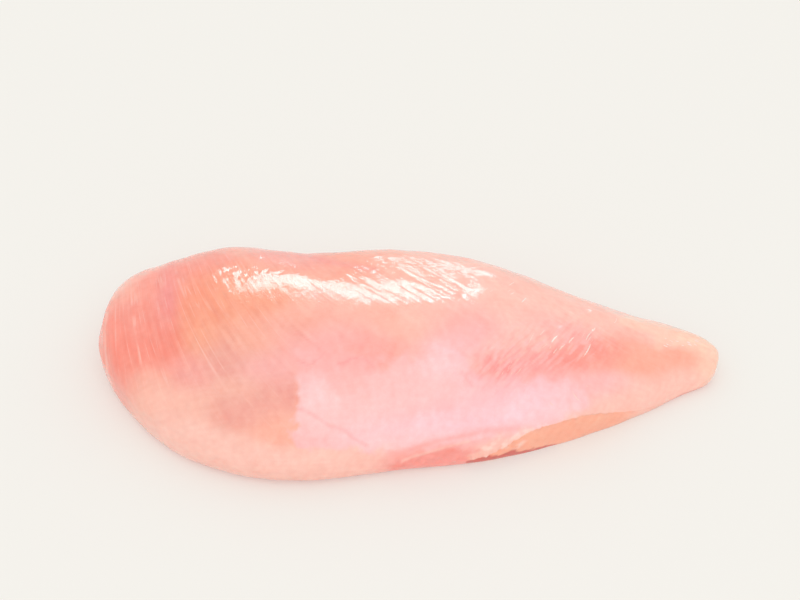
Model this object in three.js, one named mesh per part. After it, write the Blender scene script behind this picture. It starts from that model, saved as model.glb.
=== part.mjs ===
// A raw, skinless, boneless chicken breast that lies on its rib side, smooth side up.
// Millimetres, +Z up. +X runs from the thick shoulder end to the thin tail tip, and
// +Y from the thin belly edge to the steep breastbone edge. The base is flat at z = 0,
// and the origin is the middle of the bounding box's lower face.
import * as THREE from "three";

// Driving sizes of the whole fillet.
const LENGTH = 185;
const WIDTH = 84;
const HEIGHT = 34;

// The edges and the crest are read at these shares of the length, thick end first.
const SHARES = [0, 0.1, 0.22, 0.34, 0.48, 0.62, 0.74, 0.86, 0.94, 1];
// Shares of the width, measured from the fillet's middle line.
const BELLY_EDGE = [-0.29, -0.48, -0.53, -0.525, -0.47, -0.415, -0.335, -0.215, -0.107, -0.055];
const BONE_EDGE = [0.47, 0.385, 0.415, 0.37, 0.375, 0.335, 0.25, 0.175, 0.15, 0.12];
const CREST_LINE = [0.14, 0.13, 0.12, 0.11, 0.11, 0.08, 0.04, 0.02, 0.02, 0.03];
// Shares of the height.
const CREST_HEIGHT = [0.76, 0.79, 0.93, 0.965, 1, 0.92, 0.73, 0.51, 0.4, 0.36];
const BELLY_LIFT = [0.28, 0.26, 0.22, 0.2, 0.16, 0.12, 0.12, 0.09, 0.08, 0.12];
const BONE_LIFT = [0.36, 0.4, 0.4, 0.38, 0.38, 0.36, 0.3, 0.22, 0.18, 0.17];

// Where the two ends close, as a point of the cross-section.
const SHOULDER_POLE = { y: 5, z: 11 };
const TAIL_POLE = { y: 3, z: 6 };
// How far from each end the outline, the top and the base take to reach full size.
const SHOULDER_ROUND = { belly: 72, bone: 34, top: 30, base: 9, power: 2.2 };
const TAIL_ROUND = { belly: 5, bone: 24, top: 20, base: 8, power: 2.1 };
// How far the base's rim stands in from the widest line: along the belly edge at the same
// shares of the length, and all along the breastbone edge. Then how square the top is.
const BELLY_INSET = [5, 5, 5, 5, 4, 2, 1.6, 1.8, 2, 2];
const BONE_INSET = 9;
const TOP_POWER = { belly: 2.05, bone: 2.1 };

// Towards the tail the upper layer ends in a lip that rises off the base and bares a steep wall.
// Lengths are from the shoulder end. The shallow groove under the lip has its place and height
// as shares of the wall's height.
const LIP = { start: 114, full: 129, fullEnd: 140, end: 167, rise: 7.6 };
const LIP_GROOVE = { depth: 2.2, level: 0.87, spread: 0.14 };
// The seam round the shoulder end, over a lower layer that stands out a little further.
const SEAM = { reach: 16, depth: 1.3, level: 14, spread: 1.5, middle: { x: 60, y: 4 } };
// Long soft swellings and valleys of the top, each between two points seen from above.
const SWELLS = [
  { from: [134, -11], to: [170, -6], width: 5, rise: -1.3 },
  { from: [148, 5], to: [180, 4], width: 3.4, rise: 0.9 },
  { from: [86, -40], to: [127, -33], width: 2.4, rise: -0.9 },
  { from: [44, -28], to: [66, -24], width: 13, rise: -1 },
  { from: [84, -14], to: [112, -18], width: 12, rise: 0.7 },
  { from: [22, -12], to: [30, 16], width: 8, rise: 0.8 },
  { from: [62, 20], to: [76, 10], width: 6, rise: -0.9 },
];
// The swellings fade out over this height above the widest line.
const SWELL_FADE = 8;

// Cross-section steps on each stretch, and cross-sections along the length. The steps of the
// belly foot are closer together near the base, by this power.
const STEPS = { bellySlope: 22, boneSlope: 12, boneFoot: 5, base: 4, bellyFoot: 12 };
const FOOT_CROWDING = 1.5;
const SECTIONS = 76;

// A listed value at a share of the length, on a smooth curve through the list.
function along(values, share) {
  const last = SHARES.length - 1;
  let i = 0;
  while (i < last - 1 && share > SHARES[i + 1]) i += 1;
  const slope = (k) => {
    const a = Math.max(k - 1, 0);
    const b = Math.min(k + 1, last);
    return (values[b] - values[a]) / (SHARES[b] - SHARES[a]);
  };
  const span = SHARES[i + 1] - SHARES[i];
  const t = (share - SHARES[i]) / span;
  const rise = t * t * (3 - 2 * t);
  return (
    values[i] * (1 - rise) +
    values[i + 1] * rise +
    span * (slope(i) * t * (1 - t) ** 2 - slope(i + 1) * t * t * (1 - t))
  );
}

// 0 at the end of the fillet and 1 from `reach` on, rounded like a superellipse.
function rounding(distance, reach, power) {
  if (distance >= reach) return 1;
  return (1 - (1 - distance / reach) ** power) ** (1 / power);
}

// A bell curve: 1 at the middle, and next to nothing two spreads away.
const bell = (offset, spread) => Math.exp(-((offset / spread) ** 2));

// 0 before `start`, 1 after `full`, with a smooth ramp between.
const ramp = (value, start, full) => THREE.MathUtils.smoothstep(value, start, full);

// The named points of the cross-section at a share of the length.
function frameAt(share) {
  const fromShoulder = share * LENGTH;
  const fromTail = LENGTH - fromShoulder;
  const nearShoulder = share < 0.5;
  const pole = nearShoulder ? SHOULDER_POLE : TAIL_POLE;
  const end = nearShoulder ? SHOULDER_ROUND : TAIL_ROUND;
  const distance = nearShoulder ? fromShoulder : fromTail;
  const belly = rounding(distance, end.belly, end.power);
  const bone = rounding(distance, end.bone, end.power);
  const top = rounding(distance, end.top, end.power);
  const base = rounding(distance, end.base, end.power);
  const toY = (value, close) => pole.y + (value - pole.y) * close;
  const toZ = (value, close) => pole.z + (value - pole.z) * close;
  const lip = ramp(fromShoulder, LIP.start, LIP.full) * (1 - ramp(fromShoulder, LIP.fullEnd, LIP.end));
  return {
    belly: toY(along(BELLY_EDGE, share) * WIDTH, belly),
    bone: toY(along(BONE_EDGE, share) * WIDTH, bone),
    crest: toY(along(CREST_LINE, share) * WIDTH, top),
    top: toZ(along(CREST_HEIGHT, share) * HEIGHT, top),
    bellyLift: toZ(along(BELLY_LIFT, share) * HEIGHT, base),
    boneLift: toZ(along(BONE_LIFT, share) * HEIGHT, base),
    floor: toZ(0, base),
    bellyInset: along(BELLY_INSET, share) * belly,
    boneInset: BONE_INSET * bone,
    lip,
  };
}

// A quarter of a superellipse from (1, 0) to (0, 1), at a share of its sweep. Where it is cut
// off at a height, it starts there, still as far out as before.
function quarter(share, power, cut = 0) {
  const first = Math.asin(cut ** (power / 2));
  const angle = first + share * (Math.PI / 2 - first);
  return [(Math.cos(angle) / Math.cos(first)) ** (2 / power), Math.sin(angle) ** (2 / power)];
}

// One cross-section as a closed ring of [y, z], from the belly edge over the crest.
function ring(share) {
  const f = frameAt(share);
  const points = [];
  const lipRise = LIP.rise * f.lip;
  const cut = lipRise / (f.top - f.bellyLift);
  for (let i = 0; i < STEPS.bellySlope; i += 1) {
    const [out, up] = quarter(i / STEPS.bellySlope, TOP_POWER.belly, cut);
    points.push([f.crest + (f.belly - f.crest) * out, f.bellyLift + (f.top - f.bellyLift) * up]);
  }
  for (let i = 0; i < STEPS.boneSlope; i += 1) {
    const [up, out] = quarter(i / STEPS.boneSlope, TOP_POWER.bone);
    points.push([f.crest + (f.bone - f.crest) * out, f.boneLift + (f.top - f.boneLift) * up]);
  }
  for (let i = 0; i < STEPS.boneFoot; i += 1) {
    const [out, down] = quarter(i / STEPS.boneFoot, 2);
    points.push([f.bone - f.boneInset * (1 - out), f.boneLift + (f.floor - f.boneLift) * down]);
  }
  const boneFoot = f.bone - f.boneInset;
  const bellyFoot = f.belly + f.bellyInset;
  for (let i = 0; i < STEPS.base; i += 1) {
    points.push([boneFoot + ((bellyFoot - boneFoot) * i) / STEPS.base, f.floor]);
  }
  const wallHeight = f.bellyLift + lipRise - f.floor;
  for (let i = 0; i < STEPS.bellyFoot; i += 1) {
    const level = (i / STEPS.bellyFoot) ** FOOT_CROWDING;
    const out = Math.sqrt(1 - (1 - level) ** 2);
    const groove = LIP_GROOVE.depth * f.lip * bell(level - LIP_GROOVE.level, LIP_GROOVE.spread);
    points.push([bellyFoot - f.bellyInset * out + groove, f.floor + wallHeight * level]);
  }
  return points;
}

// How far the swellings and valleys lift the top at a point seen from above.
function swellAt(x, y) {
  let rise = 0;
  for (const { from, to, width, rise: height } of SWELLS) {
    const [dx, dy] = [to[0] - from[0], to[1] - from[1]];
    const t = ((x - from[0]) * dx + (y - from[1]) * dy) / (dx * dx + dy * dy);
    const near = THREE.MathUtils.clamp(t, 0, 1);
    rise += height * bell(Math.hypot(x - from[0] - near * dx, y - from[1] - near * dy), width);
  }
  return rise;
}

// Moves a point of the plain skin to where the seam and the swellings put it.
function shaped(x, y, z, f) {
  const above = ramp(z, f.bellyLift, f.bellyLift + SWELL_FADE);
  const [toX, toY] = [SEAM.middle.x - x, SEAM.middle.y - y];
  const depth = SEAM.depth * (1 - ramp(x, 0, SEAM.reach)) * bell(z - SEAM.level, SEAM.spread);
  const share = depth / Math.hypot(toX, toY);
  return [x + toX * share, y + toY * share, z + swellAt(x, y) * above];
}

// The closed skin: rings between the two poles, closer together towards the ends.
function fillet() {
  const positions = [0, SHOULDER_POLE.y, SHOULDER_POLE.z];
  let around = 0;
  for (let k = 1; k < SECTIONS; k += 1) {
    const share = (1 - Math.cos((Math.PI * k) / SECTIONS)) / 2;
    const points = ring(share);
    const f = frameAt(share);
    around = points.length;
    points.forEach(([y, z]) => positions.push(...shaped(share * LENGTH, y, z, f)));
  }
  positions.push(LENGTH, TAIL_POLE.y, TAIL_POLE.z);

  const indices = [];
  const at = (k, i) => 1 + (k - 1) * around + (i % around);
  const tail = positions.length / 3 - 1;
  for (let i = 0; i < around; i += 1) {
    indices.push(0, at(1, i), at(1, i + 1));
    for (let k = 1; k < SECTIONS - 1; k += 1) {
      indices.push(at(k, i), at(k + 1, i), at(k + 1, i + 1));
      indices.push(at(k, i), at(k + 1, i + 1), at(k, i + 1));
    }
    indices.push(at(SECTIONS - 1, i), tail, at(SECTIONS - 1, i + 1));
  }

  const geometry = new THREE.BufferGeometry();
  geometry.setAttribute("position", new THREE.Float32BufferAttribute(positions, 3));
  geometry.setIndex(indices);
  geometry.computeBoundingBox();
  const middle = geometry.boundingBox.getCenter(new THREE.Vector3());
  geometry.translate(-middle.x, -middle.y, -geometry.boundingBox.min.z);
  geometry.computeVertexNormals();
  return geometry;
}

const meat = new THREE.MeshStandardMaterial({ color: "#f4b3a4", roughness: 0.35, metalness: 0 });
const breast = new THREE.Mesh(fillet(), meat);
breast.name = "chicken_breast";

const part = new THREE.Group();
part.add(breast);

export default part;
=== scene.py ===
# %% [markdown]
# # A raw chicken breast, from plain solid to moist flesh
# The frame holds one closed solid with the true outline of the fillet. This lesson lays a fine
# skin over the same formulas, presses fibres, creases and wrinkles into it, paints the flesh
# colours as a maker would tint a cast, and gives it a wet, translucent finish.

# %% Load the frame and keep its box
import math

import bpy
import numpy as np
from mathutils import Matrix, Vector
from mathutils.bvhtree import BVHTree


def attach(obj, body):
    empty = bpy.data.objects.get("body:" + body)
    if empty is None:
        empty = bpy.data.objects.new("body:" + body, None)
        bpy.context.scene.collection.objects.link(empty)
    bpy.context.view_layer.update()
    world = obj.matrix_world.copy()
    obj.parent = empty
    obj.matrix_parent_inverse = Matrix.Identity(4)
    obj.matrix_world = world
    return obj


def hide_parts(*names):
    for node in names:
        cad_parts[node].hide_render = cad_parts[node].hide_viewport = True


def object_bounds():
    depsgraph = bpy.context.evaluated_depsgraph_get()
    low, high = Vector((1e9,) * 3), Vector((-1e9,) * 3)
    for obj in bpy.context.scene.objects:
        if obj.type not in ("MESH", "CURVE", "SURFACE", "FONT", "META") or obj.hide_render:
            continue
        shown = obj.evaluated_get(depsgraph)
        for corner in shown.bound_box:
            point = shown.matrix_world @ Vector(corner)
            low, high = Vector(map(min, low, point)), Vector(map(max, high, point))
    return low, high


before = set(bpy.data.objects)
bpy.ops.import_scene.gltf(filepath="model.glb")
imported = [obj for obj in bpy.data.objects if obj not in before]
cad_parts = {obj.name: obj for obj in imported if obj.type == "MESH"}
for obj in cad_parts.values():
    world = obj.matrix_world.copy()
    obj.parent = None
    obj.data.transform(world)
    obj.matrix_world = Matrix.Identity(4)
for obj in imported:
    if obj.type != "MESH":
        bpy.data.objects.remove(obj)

frame_low, frame_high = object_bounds()
LENGTH = (frame_high.x - frame_low.x) * 1000
print("frame box, mm:", [round((b - a) * 1000, 1) for a, b in zip(frame_low, frame_high)])

# %% [markdown]
# ## The camera, and a chart of the picture
# The camera comes first, because many marks on the flesh are easiest to place where they are
# seen. It looks down by 45 degrees from in front of the thin belly edge. `seen_at` tells where
# any point of the skin falls in the 800 by 600 picture. The marks below give their places in
# those pixels and their sizes in millimetres, and they stay fixed to the skin afterwards.

# %% Camera
MM = 0.001
PICTURE = (800, 600)
LENS, SENSOR = 85.0, 36.0
TILT = math.radians(45)
DISTANCE = 590.0
AIM = np.array([-2.7, 36.6, 0.0])
RIGHT = np.array([1.0, 0.0, 0.0])
UP = np.array([0.0, math.sin(TILT), math.cos(TILT)])
FORWARD = np.array([0.0, math.cos(TILT), -math.sin(TILT)])
CAMERA = AIM - DISTANCE * FORWARD
FOCAL = LENS / SENSOR * PICTURE[0]
MM_PER_PIXEL = 0.3


def placed(name, data):
    """A new object in the scene that shows a mesh, camera or light."""
    thing = bpy.data.objects.new(name, data)
    bpy.context.collection.objects.link(thing)
    return thing


camera = placed("camera", bpy.data.cameras.new("camera"))
camera.data.lens, camera.data.sensor_width = LENS, SENSOR
camera.data.clip_start, camera.data.clip_end = 0.05, 20
camera.location = CAMERA * MM
camera.rotation_euler = (TILT, 0, 0)
bpy.context.scene.camera = camera


def seen_at(points):
    """Pixels at which points (mm) are seen: their sideways and upward offsets from the
    camera's axis, each divided by the distance along it and times the focal length."""
    offset = points - CAMERA
    depth = offset @ FORWARD
    across = PICTURE[0] / 2 + FOCAL * (offset @ RIGHT) / depth
    down = PICTURE[1] / 2 - FOCAL * (offset @ UP) / depth
    return np.stack([across, down], axis=-1)


# %% [markdown]
# ## The fillet's form
# A fillet is one muscle without a straight edge. It could be sculpted by hand, but formulas give
# the same shape each run, and it changes with a single number. These are the driving sizes of the
# solid. Lists give shares of the width or height at ten stations along the length, and `along`
# runs a smooth curve through each list.

# %% Driving sizes
WIDTH, HEIGHT = 84.0, 34.0
STATIONS = np.array([0, 0.1, 0.22, 0.34, 0.48, 0.62, 0.74, 0.86, 0.94, 1])
BELLY_EDGE = [-0.29, -0.48, -0.53, -0.525, -0.47, -0.415, -0.335, -0.215, -0.107, -0.055]
BONE_EDGE = [0.47, 0.385, 0.415, 0.37, 0.375, 0.335, 0.25, 0.175, 0.15, 0.12]
CREST_LINE = [0.14, 0.13, 0.12, 0.11, 0.11, 0.08, 0.04, 0.02, 0.02, 0.03]
CREST_HEIGHT = [0.76, 0.79, 0.93, 0.965, 1, 0.92, 0.73, 0.51, 0.4, 0.36]
BELLY_LIFT = [0.28, 0.26, 0.22, 0.2, 0.16, 0.12, 0.12, 0.09, 0.08, 0.12]
BONE_LIFT = [0.36, 0.4, 0.4, 0.38, 0.38, 0.36, 0.3, 0.22, 0.18, 0.17]
BELLY_INSET = [5, 5, 5, 5, 4, 2, 1.6, 1.8, 2, 2]
BONE_INSET = 9.0
BELLY_POWER, BONE_POWER = 2.05, 2.1
SHOULDER = dict(pole=(5, 11), belly=72, bone=34, top=30, base=9, power=2.2)
TAIL = dict(pole=(3, 6), belly=5, bone=24, top=20, base=8, power=2.1)
LIP = dict(start=114, full=129, full_end=140, end=167, rise=7.6)
LIP_GROOVE = dict(depth=0.3, level=0.85, spread=0.16)
SEAM = dict(reach=16, depth=1.3, level=14, drop=2.6, spread=1.5, middle=(60, 4),
            falls=(0, 22), fades=(-8, 10), faded=0.9)
SWELLS = [
    ((134, -11), (170, -6), 5, -1.3),
    ((148, 5), (180, 4), 3.4, 0.9),
    ((86, -40), (127, -33), 2.4, -0.9),
    ((44, -28), (66, -24), 13, -1),
    ((84, -14), (112, -18), 12, 0.7),
    ((22, -12), (30, 16), 8, 0.8),
    ((62, 20), (76, 10), 6, -0.9),
]
SWELL_FADE = 8.0
print("length, width and height of the formulas, mm:", round(LENGTH, 1), WIDTH, HEIGHT)


# %% Curves that the form is made of
def along(values, share):
    """A listed value at a share of the length: between two stations, a cubic that meets both
    values with slopes taken from the stations on either side."""
    values = np.asarray(values, float)
    index = np.arange(len(values))
    before, after = np.maximum(index - 1, 0), np.minimum(index + 1, len(values) - 1)
    slopes = (values[after] - values[before]) / (STATIONS[after] - STATIONS[before])
    i = np.clip(np.searchsorted(STATIONS, share) - 1, 0, len(values) - 2)
    span = STATIONS[i + 1] - STATIONS[i]
    t = (share - STATIONS[i]) / span
    rise = t * t * (3 - 2 * t)
    bend = slopes[i] * t * (1 - t) ** 2 - slopes[i + 1] * t * t * (1 - t)
    return values[i] * (1 - rise) + values[i + 1] * rise + span * bend


def rounding(distance, reach, power):
    """0 at an end of the fillet and 1 from `reach` on, along a superellipse."""
    t = 1 - np.clip(distance / reach, 0, 1)
    return (1 - t**power) ** (1 / power)


def bell(offset, spread):
    """1 at the middle, and next to nothing two spreads away."""
    return np.exp(-((offset / spread) ** 2))


def ramp(value, start, full):
    """0 before `start`, 1 after `full`, with a smooth S between."""
    t = np.clip((value - start) / (full - start), 0, 1)
    return t * t * (3 - 2 * t)


# %% [markdown]
# ## Cross-sections on a grid
# The skin is one grid: a row is a cross-section, and a column runs from the shoulder to the
# tail. Rows crowd together at the two rounded ends, where the skin turns fastest. Each row
# starts and ends at the middle of the underside, so that the grid's seam is never seen.

# %% The rows: where the cross-sections stand
SHOULDER_ROWS, MIDDLE_ROWS, TAIL_ROWS = 72, 252, 48
SHOULDER_SPAN, TAIL_SPAN = 30.0, 20.0
turn = np.arange(1, SHOULDER_ROWS + 1) / SHOULDER_ROWS * math.pi / 2
tail_turn = np.arange(TAIL_ROWS - 1, 0, -1) / TAIL_ROWS * math.pi / 2
station = np.concatenate([
    SHOULDER_SPAN * (1 - np.cos(turn)),
    np.linspace(SHOULDER_SPAN, LENGTH - TAIL_SPAN, MIDDLE_ROWS + 2)[1:],
    LENGTH - TAIL_SPAN * (1 - np.cos(tail_turn)),
])[:, None]
share = station / LENGTH
print("cross-sections:", len(station))


# %% The named points of every cross-section at once
def measures():
    """Edge, crest, lift and inset of each cross-section, drawn in towards the pole near the
    ends: value = pole + (full value - pole) x rounding."""
    near_shoulder = share < 0.5
    pole_y = np.where(near_shoulder, SHOULDER["pole"][0], TAIL["pole"][0])
    pole_z = np.where(near_shoulder, SHOULDER["pole"][1], TAIL["pole"][1])

    def close(key):
        ends = (
            rounding(station, SHOULDER[key], SHOULDER["power"]),
            rounding(LENGTH - station, TAIL[key], TAIL["power"]),
        )
        return np.where(near_shoulder, *ends)

    def grown(pole, values, size, key):
        return pole + (along(values, share) * size - pole) * close(key)

    lip = ramp(station, LIP["start"], LIP["full"])
    return dict(
        belly=grown(pole_y, BELLY_EDGE, WIDTH, "belly"),
        bone=grown(pole_y, BONE_EDGE, WIDTH, "bone"),
        crest=grown(pole_y, CREST_LINE, WIDTH, "top"),
        top=grown(pole_z, CREST_HEIGHT, HEIGHT, "top"),
        belly_lift=grown(pole_z, BELLY_LIFT, HEIGHT, "base"),
        bone_lift=grown(pole_z, BONE_LIFT, HEIGHT, "base"),
        floor=pole_z * (1 - close("base")),
        belly_inset=along(BELLY_INSET, share) * close("belly"),
        bone_inset=BONE_INSET * close("bone"),
        lip=lip * (1 - ramp(station, LIP["full_end"], LIP["end"])),
    )


section = measures()


# %% The columns: each cross-section as a ring
STEPS = dict(base=10, belly_foot=26, belly_slope=104, bone_slope=86, bone_foot=20)
EDGE_COLUMN = STEPS["base"] + STEPS["belly_foot"]
CREST_COLUMN = EDGE_COLUMN + STEPS["belly_slope"]
FOOT_CROWDING = 1.5


def rings():
    """y and z of the whole grid. A slope is a superellipse quarter, out = cos^(2/p) and
    up = sin^(2/p); where the lip rises, the belly quarter starts higher up its curve and a
    steep wall with a shallow groove stands below it."""
    s = section
    belly_foot, bone_foot = s["belly"] + s["belly_inset"], s["bone"] - s["bone_inset"]
    middle = (belly_foot + bone_foot) / 2
    steps = {name: np.arange(count) / count for name, count in STEPS.items()}
    rise = LIP["rise"] * s["lip"]

    base_out = middle + (belly_foot - middle) * steps["base"]
    level = steps["belly_foot"] ** FOOT_CROWDING
    groove = bell(level - LIP_GROOVE["level"], LIP_GROOVE["spread"])
    groove = LIP_GROOVE["depth"] * s["lip"] * groove
    foot_y = belly_foot - s["belly_inset"] * np.sqrt(1 - (1 - level) ** 2) + groove
    foot_z = s["floor"] + (s["belly_lift"] + rise - s["floor"]) * level

    height = s["top"] - s["belly_lift"]
    first = np.arcsin((rise / height) ** (BELLY_POWER / 2))
    angle = first + steps["belly_slope"] * (math.pi / 2 - first)
    outward = (np.cos(angle) / np.cos(first)) ** (2 / BELLY_POWER)
    slope_y = s["crest"] + (s["belly"] - s["crest"]) * outward
    slope_z = s["belly_lift"] + height * np.sin(angle) ** (2 / BELLY_POWER)

    angle = steps["bone_slope"] * math.pi / 2
    back_y = s["crest"] + (s["bone"] - s["crest"]) * np.sin(angle) ** (2 / BONE_POWER)
    back_z = s["bone_lift"] + (s["top"] - s["bone_lift"]) * np.cos(angle) ** (2 / BONE_POWER)
    angle = steps["bone_foot"] * math.pi / 2
    heel_y = s["bone"] - s["bone_inset"] * (1 - np.cos(angle))
    heel_z = s["bone_lift"] + (s["floor"] - s["bone_lift"]) * np.sin(angle)
    base_in = bone_foot + (middle - bone_foot) * steps["base"]

    flat = s["floor"] + 0 * base_out
    y = np.concatenate([base_out, foot_y, slope_y, back_y, heel_y, base_in], axis=1)
    z = np.concatenate([flat, foot_z, slope_z, back_z, heel_z, flat], axis=1)
    return y, z


y, z = rings()
x = np.broadcast_to(station, y.shape)
print("grid:", y.shape, "about", 2 * y.size, "triangles")


# %% [markdown]
# ## Seam, swellings and valleys
# At the shoulder a seam runs round the end, over a lower layer that stands out a little. The
# top has long soft swellings. As bell curves added to the plain skin they leave no joint. Both
# are the solid's own, but in front the seam fades out, because there it would darken the outline.

# %% The seam and the swellings
def near_line(px, py, start, end):
    """Distance from points to a straight stretch: the nearest share of the way is clamped
    between 0 and 1."""
    dx, dy = end[0] - start[0], end[1] - start[1]
    t = np.clip(((px - start[0]) * dx + (py - start[1]) * dy) / (dx * dx + dy * dy), 0, 1)
    return np.hypot(px - start[0] - t * dx, py - start[1] - t * dy)


def shaped(x, y, z):
    """The grid with the seam drawn in towards the shoulder's middle and the top lifted by
    each swelling's bell curve. The seam is a bell curve of the height round its level, and
    both its level and its depth shrink towards the front."""
    swell = sum(rise * bell(near_line(x, y, a, b), width) for a, b, width, rise in SWELLS)
    above = ramp(z, section["belly_lift"], section["belly_lift"] + SWELL_FADE)
    to_x, to_y = SEAM["middle"][0] - x, SEAM["middle"][1] - y
    level = SEAM["level"] - SEAM["drop"] * ramp(to_y, *SEAM["falls"])
    depth = SEAM["depth"] * (1 - ramp(x, 0, SEAM["reach"]))
    depth = depth * (1 - SEAM["faded"] * ramp(to_y, *SEAM["fades"]))
    depth = depth * bell(z - level, SEAM["spread"])
    pull = depth / np.hypot(to_x, to_y)
    return np.stack([x + to_x * pull, y + to_y * pull, z + swell * above], axis=-1)


skin = shaped(x, y, z)
low, high = skin.reshape(-1, 3).min(0), skin.reshape(-1, 3).max(0)
centre_y = (low[1] + high[1]) / 2
skin -= (LENGTH / 2, centre_y, 0)
print("skin box, mm:", (high - low).round(1))

# %% [markdown]
# ## Coordinates that lie in the skin
# Muscle fibres don't follow x and y. They leave the breastbone edge and fan out over the
# shoulder, steep at the thick end and slanting more and more towards the tail. `length_way` and
# `side_way` unroll the skin in millimetres, and `fibre_across` numbers the fibres of the fan.


# %% Unrolled lengths and the fan of fibres
def unroll(grid, axis, origin):
    """Distance in mm along the grid's lines from one of them: the running sum of the steps
    between neighbours, less its value at the origin."""
    steps = np.linalg.norm(np.diff(grid, axis=axis), axis=-1)
    total = np.concatenate([np.zeros_like(steps.take([0], axis)), np.cumsum(steps, axis)], axis)
    return total - total.take([origin], axis)


closed = np.concatenate([skin, skin[:, :1]], axis=1)
side_way = unroll(closed, 1, CREST_COLUMN)
length_way = unroll(closed[:, CREST_COLUMN:CREST_COLUMN + 1], 0, 0) + 0 * side_way
FAN_START, FAN_BEND, FAN_TOP, FAN_TURN, TURN_FROM = -8.0, 70.0, 35.0, 0.3, 30.0
fan_top = FAN_TOP + FAN_TURN * np.maximum(length_way - TURN_FROM, 0)
fibre_across = (length_way - FAN_START) / (1 + (fan_top - side_way) ** 2 / (2 * FAN_BEND**2))
STROKE_ANGLE = math.radians(55)
stroke_along = length_way * math.cos(STROKE_ANGLE) + side_way * math.sin(STROKE_ANGLE)
stroke_across = side_way * math.cos(STROKE_ANGLE) - length_way * math.sin(STROKE_ANGLE)
print("unrolled length, mm:", length_way.max().round(1))


# %% [markdown]
# ## Random fields without tables
# Flesh is never even. `ripples` adds up plane waves of about one length in random directions,
# which gives a smooth rolling field with no grid in it. Stretching its coordinates turns lumps
# into streaks. Every call has its own seed, so each run gives the same fillet.


# %% Rolling noise
def ripples(coordinates, seed, waves=28):
    """A smooth random field with a spread of 1: the sum of sines of plane waves with random
    directions and phases and lengths around 1, divided by the square root of half their number."""
    rng = np.random.default_rng(seed)
    directions = rng.normal(size=(waves, coordinates.shape[-1]))
    directions /= np.linalg.norm(directions, axis=1)[:, None]
    lengths = rng.uniform(0.65, 1.5, (waves, 1))
    phases = rng.uniform(0, 2 * math.pi, waves)
    turns = coordinates @ (2 * math.pi * directions / lengths).T
    return np.sin(turns + phases).sum(-1) / math.sqrt(waves / 2)


def streaks(across, along_way, width, length, seed):
    """Ripples squeezed to `width` across and drawn out to `length` along, both in mm."""
    return ripples(np.stack([across / width, along_way / length], -1), seed)


def lumps(points, size, seed):
    """Ripples in space of about one size in mm."""
    return ripples(points / size, seed)


# %% Normals of the grid
def normals(grid):
    """Outward unit normals: the cross product of the steps along the rows and the columns."""
    lengthwise = np.gradient(grid, axis=0)
    round_way = np.roll(grid, -1, axis=1) - np.roll(grid, 1, axis=1)
    cross = np.cross(lengthwise, round_way)
    return cross / np.linalg.norm(cross, axis=-1, keepdims=True)


out = normals(skin)
print("the crest faces up by", out[:, CREST_COLUMN, 2].mean().round(2))

# %% What the camera sees, and short names for the coordinates
GRAZING, BASE_LEVEL = (0.0, 0.25), 0.05
place = seen_at(skin)
facing = ramp(-(out @ FORWARD), *GRAZING)
across, along_way, length_on = fibre_across[:, :-1], side_way[:, :-1], length_way[:, :-1]
s_across, s_along = stroke_across[:, :-1], stroke_along[:, :-1]
column = np.arange(skin.shape[1])
under_edge = np.broadcast_to((column >= STEPS["base"]) & (column < EDGE_COLUMN), y.shape)
on_base = skin[..., 2] < BASE_LEVEL
print("share of the skin that the camera sees:", (facing > 0.5).mean().round(2))


# %% [markdown]
# ## Marks placed in the picture
# Creases and stains could be painted in Blender's paint mode. Short lists of pixels need no
# picture file, and are easy to correct. `spot` and `line` are soft brushes, and `patch` has its
# own outline, made ragged by ripples. All return a value from 0 to 1 for every point.

# %% Brushes
def spot(at, size, turn=0.0):
    """A soft oval: a bell curve of the distance to a pixel, with half widths in mm, turned by
    an angle in degrees."""
    dx, dy = (place[..., 0] - at[0]) * MM_PER_PIXEL, (place[..., 1] - at[1]) * MM_PER_PIXEL
    c, s = math.cos(math.radians(turn)), math.sin(math.radians(turn))
    return np.exp(-(((dx * c + dy * s) / size[0]) ** 2) - ((dy * c - dx * s) / size[1]) ** 2)


def line(points, width):
    """A soft stroke through pixels: a bell curve of the distance in mm to the nearest
    stretch of the line."""
    gaps = [
        near_line(place[..., 0], place[..., 1], a, b) for a, b in zip(points[:-1], points[1:])
    ]
    return bell(np.min(gaps, axis=0) * MM_PER_PIXEL, width)


# %% Patches, and several marks at once
ROUGH_SIZES = (6, 2.5, 1.2)


def patch(outline, softness, ragged, seed):
    """1 inside an outline of pixels and 0 outside: crossings to the right are counted to tell
    in from out, and the distance to the outline, shifted by ripples, is ramped over the
    softness in mm."""
    px, py = place[..., 0], place[..., 1]
    inside = np.zeros(px.shape, bool)
    gap = np.full(px.shape, np.inf)
    for (ax, ay), (bx, by) in zip(outline, outline[1:] + outline[:1]):
        crosses = (ay > py) != (by > py)
        inside ^= crosses & (px < (bx - ax) * (py - ay) / (by - ay + 1e-9) + ax)
        gap = np.minimum(gap, near_line(px, py, (ax, ay), (bx, by)))
    gap = gap * MM_PER_PIXEL * np.where(inside, 1, -1)
    rough = sum(
        lumps(skin, size, seed + i) * size / ROUGH_SIZES[0] for i, size in enumerate(ROUGH_SIZES)
    )
    return ramp(gap + ragged * rough, -softness, softness)


def marked(brush, marks):
    """Where the camera sees any of several marks of one brush: the sum of the marks, each
    times its strength, held between 0 and 1."""
    return np.clip(sum(strength * brush(*mark) for strength, *mark in marks), 0, 1) * facing


# %% [markdown]
# ## Relief
# Real relief is measured in tenths of a millimetre: fibre bundles, a silverskin film with a
# torn edge, thin creases, and gathered wrinkles towards the tail. It is added along the normals,
# because a bump map alone would leave the outline smooth. Wet flesh is a mirror that shows the
# smallest dent. So the plateau under the long highlight is kept calm and tipped a little, and
# fine folds run across its wet edges, where they break the light into streaks. The torn edge of
# the upper layer is pushed in and out along the lip.

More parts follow.
